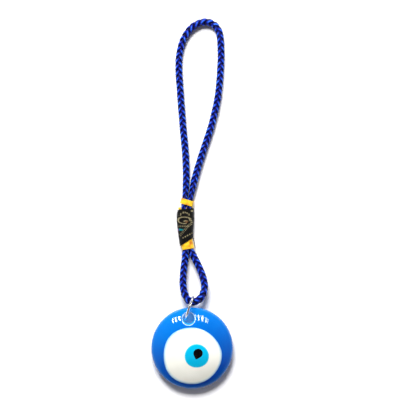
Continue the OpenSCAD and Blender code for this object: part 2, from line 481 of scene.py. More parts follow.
def fibres(g, length, count, fine):
    """Streaks that run along a thread: about count of them round it, each about fine long."""
    u, v = uv_parts(g)
    cos, sin = g.round_parts(v * TURN)
    spread = count / math.pi
    return noise(g, g.combine(cos * spread, sin * spread, u * (length / fine)), 1.0, 3.0, 0.6)


# %% Blue silk of the cord
HIGHLIGHT_FROM = 0.45  # of a strand's height, where its painted highlight starts
HIGHLIGHT_STEEP = 1.9
DIVE_SHADE_SHARE = 1.25  # painted shade: how much darker a strand is where it dives under the others
STREAK_SHARE = 0.6


def paint_silk(g):
    """A painted highlight on a strand's crown where it lies outside, and painted shade, near black, in
    the valleys and where the strand dives under the others.
    """
    streak = fibres(g, cord_length, 9, 2.2 * MM)
    v = uv_parts(g)[1]
    # painted highlight on the strand's crown
    crown = g.clamp(((v * TURN).maths("SINE") - HIGHLIGHT_FROM) * HIGHLIGHT_STEEP)
    level = g.node("ShaderNodeAttribute", {"attribute_name": "level"}, None, "Fac")
    # painted shade where the strand's level is low, where it dives under the others
    shade = crown * (1.0 - (1.0 - level) * DIVE_SHADE_SHARE) + (streak - 0.5) * STREAK_SHARE
    colour = colour_ramp(g, g.clamp(shade), [
        (0.0, (0, 0, 34)), (0.5, (0, 6, 104)), (0.82, (4, 36, 176)), (1.0, (62, 138, 248))])
    return {"Base Color": colour, "Roughness": 0.5 - streak * 0.25, "bump": streak,
            "bump_depth": 0.06 * MM}


silk = finish_of("blue_silk", paint_silk, **{"Specular IOR Level": 0.28})
print("made", silk.name)

# %% Braid the cord
cord_path = line_object("cord_path", cord_line)
cord = grow("cord_braid", braid_tree, {
    **BRAID, "Runs": STRANDS, "Steps": round(cord_length / STEP), "Sides": STRAND_SIDES,
    "Material": silk, "Path": cord_path})
join_model(cord, "strap", "cord")
[tuple(p) for p in cord_line]

# %% [markdown]
# ## Gold thread whipping
#
# Each band is one long silky thread wound side by side round both runs of cord. The tree samples a
# flat outline with round ends, goes round it many times while it moves along the cord, and sweeps
# the thread's section there. A little noise keeps the turns from lying perfectly, as a hand's do.


# %% The winding's tree
ROUND_END = 2.001  # the height over this is the radius of the outline's ends
SLACK_WAVES = (1.7, 2.3)  # per turn, of the noise outwards and along


def wound_place(g, given, run, along):
    box = g.node("GeometryNodeCurvePrimitiveQuadrilateral", None,
                 {"Width": given.out("Width"), "Height": given.out("Height")})
    outline = g.node("GeometryNodeFilletCurve", {"mode": "POLY"}, {
        "Curve": box, "Count": 16, "Radius": given.out("Height") / ROUND_END, "Limit Radius": True})
    turn = along * given.out("Turns")
    sample = g.node("GeometryNodeSampleCurve", {"mode": "FACTOR"},
                    {"Curves": outline, "Factor": turn.maths("FRACT")}, "Position")
    x, z = g.split(sample)[:2]
    reach = (given.out("Width") - given.out("Height")) / 2
    flat_x = g.clamp(x, -reach, reach)
    out = g.vector("NORMALIZE", g.combine(x - flat_x, 0.0, z))
    uneven = noise(g, g.combine(turn * SLACK_WAVES[0], given.out("Seed"), 0.0), 1.0)
    slack = (uneven - 0.5) * given.out("Slack")
    shift = noise(g, g.combine(turn * SLACK_WAVES[1], given.out("Seed"), 5.0), 1.0) - 0.5
    y = (along - 0.5) * given.out("Band") + shift * given.out("Slack")
    thick = given.out("Thread")
    return g.walk(g.combine(x, y, z), (out, slack)), (out, thick), ((0.0, 1.0, 0.0), thick), uneven


WOUND_SIZES = ["Width", "Height", "Band", "Turns", "Thread", "Slack", "Seed"]
wound_tree = swept_tree("winding", dict.fromkeys(WOUND_SIZES, "Float"), wound_place)
print("winding tree has", len(wound_tree.nodes), "nodes")


# %% Gold and pale thread
def paint_gold(g):
    streak = fibres(g, 1.0, 7, 0.012)
    patch = noise(g, object_place(g), 420.0)
    light = blend_colour(g, streak, (238, 186, 18), (250, 216, 52))
    colour = blend_colour(g, g.clamp((patch - 0.46) * 4.0), light, (196, 108, 4))
    return {"Base Color": colour, "Roughness": 0.5 - streak * 0.2, "bump": streak,
            "bump_depth": 0.04 * MM}


def paint_thread(dark, light, fibre=0.05, count=6, rough=(0.85, 0.2), depth=0.03):
    def paint(g):
        streak = fibres(g, 1.0, count, fibre)
        return {"Base Color": blend_colour(g, streak, dark, light), "bump": streak,
                "Roughness": rough[0] - streak * rough[1], "bump_depth": depth * MM}
    return paint


gold = finish_of("gold_silk", paint_gold, **{"Coat Weight": 0.2, "Coat Roughness": 0.3})
pale = finish_of("pale_cotton", paint_thread((176, 166, 138), (222, 214, 190), 0.012, 7, (0.8, 0.1),
                                             0.04))
print("made", gold.name, "and", pale.name)

# %% Wind the four bands
STRAND_GAP = 2.2 * MM  # between the middles of the two runs of cord
THREAD_WALL = 0.36 * MM
BIND_Z = 1.9 * MM
THREAD_PITCH = 1.75  # from one turn to the next, in half thicknesses of the thread
SLACK = 0.1 * MM


def wind(name, node, material, at, length, turn=0, wider=0, thread=0.17, steps=72, seed=1.0,
         height=2.58, sunk=0.0):
    """One band of thread round both runs of cord, in mm and degrees. sunk lowers its middle."""
    width = STRAND_GAP / math.cos(math.radians(turn)) + BOUND_D + THREAD_WALL + wider * MM
    turns = round(length / (thread * THREAD_PITCH))
    band = grow(name, wound_tree, {
        "Runs": 1, "Steps": turns * steps, "Sides": 7, "Material": material,
        "Width": width, "Height": height * MM, "Band": (length - 2 * thread) * MM,
        "Turns": float(turns), "Thread": thread * MM, "Slack": SLACK, "Seed": seed})
    place = Matrix.Translation((at[0] * MM, at[1] * MM, BIND_Z - sunk * MM))
    band.data.transform(place @ Matrix.Rotation(math.radians(turn), 4, "Z"))
    join_model(band, "strap", node)


wind("top_whipping", "whip_top", gold, (-2.08, 0.55), 2.5, -16, 0.3, seed=1.0)
wind("collar_whipping", "whip_collar", gold, (-2.7, -2.3), 2.1, 4, 0.95, seed=2.0,
     height=1.25, sunk=0.5)
wind("bottom_whipping", "whip_bottom", gold, (-2.0, -16.4), 4.2, 11, seed=3.0)
wind("cut_end_binding", "end_binding", pale, (-2.5, -8.9), 5.0, thread=0.15, steps=40,
     seed=4.0)

# %% [markdown]
# ## Loose thread ends
#
# A black sewing thread hangs out beside the lower whipping, and a fine grey one sticks out at the
# sleeve's upper left corner. Both are two plies twisted together.


# %% The twisted thread's tree
PLY_OUT = 0.8  # a ply's distance from the thread's middle, in its half thicknesses
THREAD_PLIES = 3.6  # the thread's thickness, in the same measure


def ply_place(g, given, run, along):
    length = along * given.out("Length")
    sample, _, side, up = path_frame(g, given, length)
    cos, sin = g.round_parts(length / given.out("Pitch") * TURN + run * math.pi)
    ply = given.out("Ply")
    out = ply * PLY_OUT
    return g.walk(sample, (side, cos * out), (up, sin * out)), (side, ply), (up, ply), 1.0


ply_tree = swept_tree("twisted_thread", {
    "Path": "Object", "Length": "Float", "Pitch": "Float", "Ply": "Float"}, ply_place)
black_cotton = finish_of("black_cotton", paint_thread((12, 12, 14), (52, 50, 54)))
grey_cotton = finish_of("grey_cotton", paint_thread((120, 120, 126), (190, 190, 196)))


def loose_thread(name, node, material, points, thick, pitch):
    line = smooth_line(points, CUTS)
    path = line_object(name + "_path", line)
    long = line_length(line)
    made = grow(name, ply_tree, {
        "Runs": 2, "Steps": 90, "Sides": 9, "Material": material, "Path": path, "Length": long,
        "Pitch": pitch * MM, "Ply": thick / THREAD_PLIES * MM})
    bpy.data.objects.remove(path)
    join_model(made, "strap", node)


loose_thread("tail_thread", "thread_tail", black_cotton, TAIL, 0.35, 0.9)
loose_thread("stray_end", "stray_thread", grey_cotton, STRAY, 0.28, 0.7)
bpy.data.objects.remove(cord_path)

# %% [markdown]
# ## The brocade sleeve
#
# A piece of black brocade ribbon is wrapped a turn and a quarter round the tied cord. It is one
# sheet: a grid of points follows a flat outline with round ends, closing in a little on each turn
# so that the end lies on the start underneath. The lower edge is cut on a slant. Its UV map holds
# the distance round and along, so the woven pattern lies on the cloth wherever it bends.

# %% Shape of the wrapped ribbon
MOUTH_Y = -2.1  # lengths in mm, slants as rise over run
FOOT_Y = -15.5
MOUTH_SLANT = 0.09
MOUTH_WAVE = 0.12
CORNER_FROM = 2.5  # left of here the mouth is cut down
CORNER_CUT = 0.7
SLANT = math.tan(math.radians(33))
OUTLINE = [(0.0, -2.7, 6.8), (0.08, -2.82, 7.35), (0.3, -2.8, 7.4), (0.5, -2.68, 7.0),
           (0.75, -2.5, 6.3), (1.0, -2.27, 5.75)]      # share down, middle x, width
SLEEVE_H = 3.8
WRAP = 1.22  # turns
LAYER = 0.34  # room between one layer and the next
CLOTH_T = 0.22
SEAM = 0.08  # turns from the lower middle to the sheet's inner end
CREASE = 0.055  # size of the cloth's unevenness
ROUND_STEPS = 210
LONG_STEPS = 84
SLEEVE_W = 6.5
AROUND = 2 * (SLEEVE_W - SLEEVE_H) + math.pi * SLEEVE_H  # one turn
DOWN = 13.9  # what the cloth's map counts as 1 downwards; 1 sideways is the whole sheet


def outline_at(share, width, height):
    """A point on a flat outline with round ends, share turns from its lower middle."""
    reach = (width - height) / 2
    arc = math.pi * height / 2
    whole = 2 * arc + 4 * reach
    s = (share % 1.0) * whole
    if s < reach:
        return -s, -height / 2
    s -= reach
    if s < arc:
        a = s / height * 2
        return -reach - math.sin(a) * height / 2, -math.cos(a) * height / 2
    s -= arc
    if s < 2 * reach:
        return -reach + s, height / 2
    s -= 2 * reach
    if s < arc:
        a = s / height * 2
        return reach + math.sin(a) * height / 2, math.cos(a) * height / 2
    return reach - (s - arc), -height / 2


def ripple(x, y, z):
    """A soft, fixed unevenness between -1 and 1."""
    return (math.sin(1.9 * x + 0.7 * y + 0.4) * math.cos(1.1 * y - 1.6 * z)
            + 0.5 * math.sin(3.1 * y + 2.3 * x + 1.7 * z)) / 1.5


def read_outline(down):
    """Middle and width of the sleeve at a share of its length."""
    for (a, *first), (b, *second) in zip(OUTLINE, OUTLINE[1:]):
        if down <= b:
            t = (down - a) / (b - a)
            t = t * t * (3 - 2 * t) if a == 0 else t
            return [p + (q - p) * t for p, q in zip(first, second)]
    return OUTLINE[-1][1:]


def sleeve_point(share, down):
    """share is turns round, down is 0 at the mouth and 1 at the foot."""
    inward = LAYER * (1 - share / WRAP) + CLOTH_T / 2
    middle, wide = read_outline(down)
    x, z = outline_at(share - SEAM, wide - 2 * inward, SLEEVE_H - 2 * inward - 0.06)
    low = FOOT_Y + x * SLANT
    high = MOUTH_Y + x * MOUTH_SLANT - MOUTH_WAVE * math.sin(x * 1.3) ** 2
    high -= max(0, -x - CORNER_FROM) * CORNER_CUT
    y = high + (low - high) * down
    uneven = CREASE * ripple(x, y, z)
    return Vector((middle + x * (1 + uneven / 3), y, BIND_Z / MM + z * (1 + uneven))) * MM


# %% Make the wrapped ribbon
def grid_mesh(name, rows, columns, point, uv, wrap_rows=False, wrap_columns=False):
    """A mesh from a grid of points. Rows and columns may close on themselves."""
    spots = [point(i, j) for i in range(rows) for j in range(columns)]
    faces = []
    corners = []
    for i in range(rows if wrap_rows else rows - 1):
        for j in range(columns if wrap_columns else columns - 1):
            n = (i + 1) % rows
            m = (j + 1) % columns
            faces.append((i * columns + j, i * columns + m, n * columns + m, n * columns + j))
            corners += [uv(i, j), uv(i, j + 1), uv(i + 1, j + 1), uv(i + 1, j)]
    mesh = bpy.data.meshes.new(name)
    mesh.from_pydata(spots, [], faces)
    layer = mesh.uv_layers.new(name="UVMap")
    layer.data.foreach_set("uv", [c for corner in corners for c in corner])
    mesh.shade_smooth()
    mesh.update()
    return mesh


def piece_of(name, mesh, material, body, node):
    made = link(bpy.data.objects.new(name, mesh))
    mesh.materials.append(material)
    join_model(made, body, node)
    return made


def sleeve_uv(i, j):
    share = j / (ROUND_STEPS - 1)
    at = sleeve_point(share * WRAP, i / (LONG_STEPS - 1))
    return share, (MOUTH_Y - at.y / MM) / DOWN


sleeve_mesh = grid_mesh(
    "sleeve", LONG_STEPS, ROUND_STEPS,
    lambda i, j: sleeve_point(j / (ROUND_STEPS - 1) * WRAP, i / (LONG_STEPS - 1)), sleeve_uv)
print("sleeve sheet area in mm2:", round(sum(p.area for p in sleeve_mesh.polygons) / MM / MM, 1))

# %% [markdown]
# ## The brocade's weave
#
# Brocade is a black satin ground with a second, khaki thread that comes to the face only where the
# pattern wants it. So the pattern is drawn as masks: bars, rings and slanting bands, placed in mm
# to the right of the front's middle and down from the mouth. Every mask is
# read at the middle of a small weave cell, which gives its edges the steps that a loom makes, and
# the khaki thread shows as short floats. A tuft of teal with a magenta edge is one more colour.

# %% Brocade pattern
CELL = 0.2  # one thread of the weave, in mm
EDGE = 0.08  # soft edge of a mask, in mm


def soft_step(g, value, width):
    """1 where value is above 0, with an edge of that width."""
    return g.clamp(value / width + 0.5)


def ring_mask(g, x, y, at, size, wide):
    """An oval ring: its middle, its half sizes and the width of its line."""
    dx = (x - at[0]) / size[0]
    dy = (y - at[1]) / size[1]
    far = (dx * dx + dy * dy).maths("SQRT")
    off = (far - 1.0).maths("ABSOLUTE") * min(size)
    return soft_step(g, wide / 2 - off, EDGE)


def band_mask(g, along, across, span, wide):
    """A straight band: |across| under half its width, and along inside its span."""
    inside = soft_step(g, wide / 2 - across.maths("ABSOLUTE"), EDGE)
    middle = (span[0] + span[1]) / 2
    half = (span[1] - span[0]) / 2
    return inside * soft_step(g, half - (along - middle).maths("ABSOLUTE"), EDGE)


def bars(g, value, pitch, share):
    """Short bars that repeat with that pitch."""
    return soft_step(g, share - (value / pitch).maths("FRACT"), EDGE)


def turned(x, y, degrees):
    a = math.radians(degrees)
    return x * math.cos(a) + y * math.sin(a), y * math.cos(a) - x * math.sin(a)


def paint_brocade(g):
    u, v = uv_parts(g)
    front = (u * WRAP - 0.5 - SEAM) * AROUND
    down = v * DOWN
    x = ((front / CELL).maths("FLOOR") + 0.5) * CELL
    y = ((down / CELL).maths("FLOOR") + 0.5) * CELL
    top_row = ring_mask(g, x, y, (-0.2, 4.3), (2.4, 2.8), 0.55) * soft_step(g, 2.8 - y, 0.1)
    top_row = top_row * bars(g, x + 0.2, 0.85, 0.45)
    scroll = ring_mask(g, x, y, (-0.46, 4.64), (2.45, 1.28), 0.46) * soft_step(g, 4.9 - y, 0.2)
    scroll = scroll * bars(g, x, 0.56, 0.56)
    under = ring_mask(g, x, y, (-0.46, 4.64), (2.5, 1.32), 0.34) * soft_step(g, 0.55 - x, 0.2)
    turns = ring_mask(g, x, y, (-0.2, 5.6), (2.75, 2.4), 0.75) * soft_step(g, x - 0.85, 0.2)
    turns = turns * soft_step(g, 6.7 - y, 0.2) * bars(g, y - x * 0.4, 0.72, 0.5)
    eye = ring_mask(g, x, y, (0.46, 5.25), (0.42, 0.3), 0.3)
    nib = ring_mask(g, x, y, (0.2, 5.0), (0.6, 0.22), 0.25)
    ax, ay = turned(x, y, 135)
    double = band_mask(g, ax, ay + 5.46, (2.9, 9.6), 0.32)
    double = (double + band_mask(g, ax, ay + 6.02, (2.7, 9.6), 0.36)) * bars(g, ax, 0.76, 0.5)
    bx, by = turned(x, y, 156)
    low_row = band_mask(g, bx, by + 10.13, (1.2, 6.6), 0.5) * bars(g, bx, 1.15, 0.55)
    dots = band_mask(g, x, y - 7.05, (-3.4, 1.3), 0.5) * bars(g, x, 0.83, 0.5)
    patch = band_mask(g, x, y - 0.9, (2.3, 3.4), 0.5)
    back_x, back_y = turned(x, y, 34)
    back = (front.maths("ABSOLUTE") > 4.0) * bars(g, back_y, 2.3, 0.22) * bars(g, back_x, 0.62, 0.6)
    speck = noise(g, g.combine(front * 2.5, down * 2.5, 0.0), 1.0, 3.0)
    figure = g.clamp(top_row + scroll + under + turns + double + low_row + dots + patch + nib + back)
    teal = g.clamp(ring_mask(g, x, y, (-2.6, 8.45), (0.7, 0.16), 0.42))
    edge = teal * soft_step(g, -3.05 - x, 0.1)
    figure = figure * soft_step(g, speck - 0.36, 0.12)
    rib_u = (front * (TURN / CELL)).maths("SINE")
    rib_v = (down * (TURN / CELL)).maths("SINE")
    satin = blend_colour(g, g.clamp(speck * 0.8 + rib_v * 0.12), (1, 1, 1), (10, 9, 8))
    khaki = blend_colour(g, g.clamp(speck * 1.4 - 0.2 + rib_u * 0.1), (92, 84, 52),
                         (176, 166, 132))
    colour = blend_colour(g, figure, satin, khaki)
    colour = blend_colour(g, eye, colour, (96, 56, 24))
    colour = blend_colour(g, teal, colour, (0, 118, 128))
    colour = blend_colour(g, edge, colour, (128, 12, 150))
    height = figure * 0.6 + rib_u * 0.14 + rib_v * 0.14 + speck * 0.2
    return {"Base Color": colour, "Roughness": 0.52 + figure * 0.25 - speck * 0.1, "bump": height,
            "bump_depth": 0.09 * MM}


brocade = finish_of("woven_brocade", paint_brocade, **{
    "Sheen Weight": 0.04, "Sheen Roughness": 0.4, "Specular IOR Level": 0.2})
sleeve = piece_of("brocade_wrap", sleeve_mesh, brocade, "strap", "brocade_sleeve")
wall = sleeve.modifiers.new("wall", "SOLIDIFY")
wall.thickness = CLOTH_T * MM
wall.offset = 0

# %% [markdown]
# ## The jump ring
#
# A split ring of round silver wire hangs the eye from the small loop. It stands on its edge, and
# its two ends almost meet. The wire is a swept circle whose ends are eased in, as cut wire that has
# been tumbled is.

# %% Bend the ring
RING_R = 4.85 * MM
WIRE_R = 0.45 * MM
RING_AT = Vector((-1.2, -42.0, 5.3)) * MM
LEAN = math.radians(18.9)
SPLIT_AT = math.radians(55)
SPLIT = 0.2 * MM
RING_STEPS = 260
WIRE_SIDES = 24
TIP_SIZES = (0.0, 0.8, 0.95, 1.0)  # of the wire at its first steps
TIP_EASES = (0.0, 0.0, 0.02, 0.06)  # mm that those steps lie further in
strap_way = Vector((math.sin(LEAN), math.cos(LEAN), 0))
across_way = Vector((math.cos(LEAN), -math.sin(LEAN), 0))


def ring_point(i, j):
    half = math.asin(SPLIT / 2 / RING_R)
    share = min(max((i - 3) / (RING_STEPS - 7), 0), 1)
    angle = SPLIT_AT + half + share * (TURN - 2 * half)
    near = min(i, RING_STEPS - 1 - i)
    size = TIP_SIZES[min(near, 3)]
    ease = TIP_EASES[min(near, 3)] * MM / RING_R
    angle += -ease if i > RING_STEPS / 2 else ease
    out = strap_way * math.cos(angle) + Vector((0, 0, math.sin(angle)))
    turn = TURN * j / WIRE_SIDES
    return RING_AT + out * (RING_R + WIRE_R * size * math.cos(turn)) + across_way * (
        WIRE_R * size * math.sin(turn))


def paint_silver(g):
    cloud = noise(g, object_place(g), 700.0, 3.0)
    u, v = uv_parts(g)
    drawn = noise(g, g.combine(u * 40.0, v * 60.0, 0.0), 1.0, 2.0)
    colour = blend_colour(g, cloud, (214, 212, 208), (240, 239, 236))
    return {"Base Color": colour, "Roughness": 0.05 + cloud * 0.1, "bump": drawn,
            "bump_depth": 0.006 * MM}


silver = finish_of("drawn_silver", paint_silver, Metallic=1.0)
ring_mesh = grid_mesh("ring", RING_STEPS, WIRE_SIDES, ring_point,
                      lambda i, j: (i / (RING_STEPS - 1), j / WIRE_SIDES), wrap_columns=True)
piece_of("silver_ring", ring_mesh, silver, "ring", "jump_ring")

# %% [markdown]
# ## The glass disc
#
# The eye starts as a gather of molten blue glass pressed to a disc. Its front is a shallow dome,
# its edge is fire-polished round, and the hanging hole is poked through near the rim while the
# glass is soft, so its edge is rounded too. The mesh is one closed skin of rings: it goes from the
# hole's edge out over the dome, round the rim, back along the flat underside and up the hole.

# %% Sizes of the disc
DISC_R = 16.5
DISC_T = 7.4
DOME_R = 37.0
BACK_ROUND = 1.3
FRONT_ROUND = 1.6
HOLE_R = 2.35
HOLE_ROUND = 0.5
BACK_CHAMFER = 0.4
HOLE_AT = (-1.4, 12.2)
TILT = math.radians(3)
DISC_Y = -58.2
DISC_AROUND = 240
disc_lift = (DISC_R - BACK_ROUND) * math.sin(TILT) + BACK_ROUND * (1 - math.cos(TILT)) + 0.01
rim_z = math.sqrt((DOME_R - FRONT_ROUND) ** 2 - (DISC_R - FRONT_ROUND) ** 2) + DISC_T - DOME_R
meet = math.asin((DISC_R - FRONT_ROUND) / (DOME_R - FRONT_ROUND))
to_disc = Matrix.Translation((0, DISC_Y, disc_lift)) @ Matrix.Rotation(TILT, 4, "X")


DOME_EDGE = DOME_R * math.sin(meet)


def dome_z(x, y):
    return math.sqrt(DOME_R ** 2 - x * x - y * y) + DISC_T - DOME_R


def from_hole(turn, far):
    return HOLE_AT[0] + far * math.cos(turn), HOLE_AT[1] + far * math.sin(turn)


def on_rim(turn, radius):
    """A place on a circle round the disc's middle. turn is the way to it from the hole."""
    dx = math.cos(turn)
    dy = math.sin(turn)
    along = HOLE_AT[0] * dx + HOLE_AT[1] * dy
    far = -along + math.sqrt(along ** 2 + DOME_EDGE ** 2 - HOLE_AT[0] ** 2 - HOLE_AT[1] ** 2)
    rim = math.atan2(HOLE_AT[1] + far * dy, HOLE_AT[0] + far * dx)
    return radius * math.cos(rim), radius * math.sin(rim)


def between(a, b, share):
    return a[0] + (b[0] - a[0]) * share, a[1] + (b[1] - a[1]) * share


# %% The disc's rings, one after another
def hole_edge(share):
    def place(turn):
        x, y = from_hole(turn, HOLE_R + HOLE_ROUND * (1 - math.cos(share * math.pi / 2)))
        return x, y, dome_z(x, y) - HOLE_ROUND * (1 - math.sin(share * math.pi / 2))
    return place


def dome_ring(share):
    def place(turn):
        x, y = between(from_hole(turn, HOLE_R + HOLE_ROUND), on_rim(turn, DOME_EDGE), share)
        return x, y, dome_z(x, y)
    return place


def flat_ring(share):
    def place(turn):
        edge = on_rim(turn, DISC_R - BACK_ROUND)
        return *between(edge, from_hole(turn, HOLE_R + BACK_CHAMFER), share), 0.0
    return place


def rim_ring(radius, z):
    return lambda turn: (*on_rim(turn, radius), z)


def wall_ring(far, z):
    return lambda turn: (*from_hole(turn, far), z)


disc_rings = [hole_edge(k / 8) for k in range(9)]
disc_rings += [dome_ring(k / 46) for k in range(1, 47)]
for k in range(1, 11):
    b = meet + (math.pi / 2 - meet) * k / 10
    disc_rings.append(rim_ring(DISC_R - FRONT_ROUND + FRONT_ROUND * math.sin(b),
                               rim_z + FRONT_ROUND * math.cos(b)))
disc_rings += [rim_ring(DISC_R, rim_z + (BACK_ROUND - rim_z) * k / 3) for k in range(1, 4)]
for k in range(1, 9):
    c = math.pi / 2 * k / 8
    disc_rings.append(rim_ring(DISC_R - BACK_ROUND + BACK_ROUND * math.cos(c),
                               BACK_ROUND - BACK_ROUND * math.sin(c)))
disc_rings += [flat_ring(k / 24) for k in range(1, 25)]
for k in range(1, 5):
    a = math.pi / 2 * k / 4
    disc_rings.append(wall_ring(HOLE_R + BACK_CHAMFER * (1 - math.sin(a)),
                                BACK_CHAMFER * (1 - math.cos(a))))
WALL_TOP = dome_z(*HOLE_AT) - HOLE_ROUND - 0.75  # the skin's last step up closes the rest
disc_rings += [wall_ring(HOLE_R, BACK_CHAMFER + (WALL_TOP - BACK_CHAMFER) * k / 5)
               for k in range(1, 6)]


def disc_point(i, j):
    return to_disc @ Vector(disc_rings[i](TURN * j / DISC_AROUND)) * MM


disc_mesh = grid_mesh("disc", len(disc_rings), DISC_AROUND, disc_point,
                      lambda i, j: (j / DISC_AROUND, i / len(disc_rings)), True, True)
print("disc rings:", len(disc_rings), "of", DISC_AROUND, "points")

# %% [markdown]
# ## Coloured glass
#
# The glass is opaque with a thin clear skin, so it is a smooth coloured base under a glossy coat.
# Molten glass is never one even colour: slow streaks run through it, and the surface has a faint
# roll that bends reflections a little. The blue is painted light and shade: lighter towards the top
# and a little to the left, where the light comes from, and darker at the foot. A paler band at the
# rim is painted light that the rounded rim catches from the table, and a pale broken line round the
# hole's edge is a painted reflection. Light that comes through the glass shows as a blue glow on the
# hole's wall, a weak emission here.


# %% Glass finishes
RIM_LIGHT_FROM = 14.9  # all of these in mm
RIM_LIGHT_RUN = 1.8
HOLE_REFLECTION_AT = 2.66  # from the hole's middle as seen from above
HOLE_REFLECTION_HALF = 0.11
GLOW_TO = 2.5
HOLE_SHIFT = 0.35  # the hole's edge stands high, so it shows further down


def glass_skin(g, colour, roll_depth):
    """The sockets of smooth glass with that colour. roll_depth is in mm."""
    place = object_place(g)
    return {"Base Color": colour, "Roughness": 0.006 + noise(g, place, 2600.0) * 0.016,
            "bump": noise(g, place, 130.0, 1.0), "bump_depth": roll_depth * MM}


def glass_paint(deep, light, edge):
    """Streaked glass whose colour runs a little into the glass round it at its edge."""
    def paint(g):
        streak = noise(g, object_place(g), 55.0, swirl=1.2)
        colour = blend_colour(g, g.clamp((streak - 0.5) * 1.4 + 0.5), deep, light)
        blurred = g.clamp((uv_parts(g)[1] - 0.7) * 12.0)
        return glass_skin(g, blend_colour(g, blurred, colour, edge), 0.12)
    return paint


def seen_length(g, vector):
    """Length of a vector as seen from above, in mm."""
    return g.vector("LENGTH", g.vector("MULTIPLY", vector, (1.0, 1.0, 0.0))) / MM


def paint_blue_glass(g):
    """Sky blue, painted lighter towards the top and a little to the left and darker at the foot, as
    light and shade fall.
    """
    place = object_place(g)
    middle = g.vector("SUBTRACT", place, (0.0, DISC_Y * MM, 0.0))
    right, up = g.split(middle)[:2]
    streak = noise(g, place, 60.0, swirl=1.5)
    # painted light and shade: lighter to the top and a little to the left, darker at the foot
    shade = up / (DISC_R * MM) * 0.5 + 0.5 + right / (DISC_R * MM) * -0.12 + (streak - 0.5) * 0.25
    colour = colour_ramp(g, g.clamp(shade), [
        (0.0, (0, 50, 140)), (0.3, (0, 74, 170)), (0.65, (0, 98, 194)), (1.0, (0, 120, 212))])
    # painted light: a paler band at the rim, caught from the table
    rim = g.clamp((seen_length(g, middle) - RIM_LIGHT_FROM) / RIM_LIGHT_RUN)
    colour = blend_colour(g, rim * 0.6, colour, (0, 112, 186))
    hole = (HOLE_AT[0] * MM, (DISC_Y + HOLE_AT[1] - HOLE_SHIFT) * MM, 0.0)
    far = seen_length(g, g.vector("SUBTRACT", place, hole))
    # painted reflection: a pale broken line round the hole's edge
    line = soft_step(g, HOLE_REFLECTION_HALF - (far - HOLE_REFLECTION_AT).maths("ABSOLUTE"), 0.12)
    line = line * g.clamp(noise(g, place, 500.0, 1.0) * 2.2 - 0.3)
    # painted light: a blue glow on the hole's wall, for light that comes through the glass
    glow = blend_colour(g, soft_step(g, GLOW_TO - far, 0.2), (0, 0, 0), (0, 140, 196))
    sockets = glass_skin(g, blend_colour(g, line, colour, (226, 240, 246)), 0.04)
    return {**sockets, "Emission Color": glow}


GLASS = {"IOR": 1.5, "Coat Weight": 0.2, "Coat Roughness": 0.01, "Specular IOR Level": 0.4}
blue_glass = finish_of("blue_glass_skin", paint_blue_glass, **GLASS, **{"Emission Strength": 1.2})
white_glass = finish_of("white_glass_skin", glass_paint(
    (236, 236, 224), (248, 248, 240), (150, 196, 224)), **GLASS)
light_glass = finish_of("light_blue_skin", glass_paint(
    (0, 168, 212), (0, 188, 232), (92, 206, 232)), **GLASS)
black_glass = finish_of("black_glass_skin", glass_paint((0, 0, 1), (4, 4, 6), (2, 6, 8)), **GLASS)
piece_of("glass_eye_disc", disc_mesh, blue_glass, "eye", "glass_disc")

# %% [markdown]
# ## The eye drops
#
# The white, the light blue and the black are drops of hot glass, each laid on the one before and
# pressed in. They spread unevenly, so their outlines are given as sums of a few waves, and the
# black keeps a small tail where its thread was pulled off. Each is a low dome with a rounded edge,
# in a frame that stands on the surface below it.

# %% Frames of the drops
WHITE_AT = (0.4, -2.9)  # each in the frame of the one below, in mm
IRIS_AT = (1.5, 0.3)
PUPIL_AT = (0.5, 1.15)
PUPIL_TAIL = (-0.9, -2.5)
PUPIL_R = 1.9


class Drop:
    """A low dome set in a round surface: its plan radius, that surface's radius, its crown and step."""

    def __init__(self, radius, surface, crown, step):
        self.radius = radius
        self.surface = surface
        self.edge = math.sqrt(surface ** 2 - radius ** 2)
        rise = surface + crown - self.edge - step
        self.dome = (radius ** 2 + rise ** 2) / (2 * rise)
        self.centre = surface + crown - self.dome

    def height(self, far):
        return self.centre + math.sqrt(self.dome ** 2 - far ** 2)


def aim(at, radius):
    lean = Matrix.Rotation(math.asin(-at[1] / radius), 4, "X")
    return Matrix.Rotation(math.asin(at[0] / radius), 4, "Y") @ lean


white_drop = Drop(11.65, DOME_R, 0.9, 0.15)
iris_drop = Drop(4.9, white_drop.dome, 0.25, 0.05)
pupil_drop = Drop(PUPIL_R, iris_drop.dome, 0.2, 0.03)
to_white = to_disc @ Matrix.Translation((0, 0, DISC_T - DOME_R)) @ aim(WHITE_AT, DOME_R)
to_iris = to_white @ Matrix.Translation((0, 0, white_drop.centre)) @ aim(IRIS_AT, white_drop.dome)
to_pupil = to_iris @ Matrix.Translation((0, 0, iris_drop.centre)) @ aim(PUPIL_AT, iris_drop.dome)


# %% Outlines of the drops
def wavy_outline(mean, waves):
    """A round outline with (count, size, phase) waves in its radius."""
    return lambda turn: mean + sum(size * math.cos(count * turn + phase)
                                   for count, size, phase in waves)


white_outline = wavy_outline(11.71, [(1, -0.32, 0), (1, -0.085, -math.pi / 2), (2, 0.07, 0),
                                     (3, 0.15, 0), (4, -0.06, 0), (5, 0.08, 0)])
iris_outline = wavy_outline(4.9, [(2, 0.06, 0.4), (3, 0.05, 1.2)])


def pupil_outline(turn):
    """A round drop that runs out to its tail, with the corner between them eased."""
    far = math.hypot(*PUPIL_TAIL)
    off = (turn - math.atan2(PUPIL_TAIL[1], PUPIL_TAIL[0]) + math.pi) % TURN - math.pi
    if abs(off) >= math.acos(PUPIL_R / far):
        return PUPIL_R
    return PUPIL_R / math.sin(math.asin(PUPIL_R / far) + abs(off))


# %% Lay the drops
DROP_AROUND = 180
DROP_ROWS = 34
EDGE_ROWS = 8
BASE_SHARES = (1.0, 0.5, 0.0)  # of the radius, for the hidden rows inside the glass below


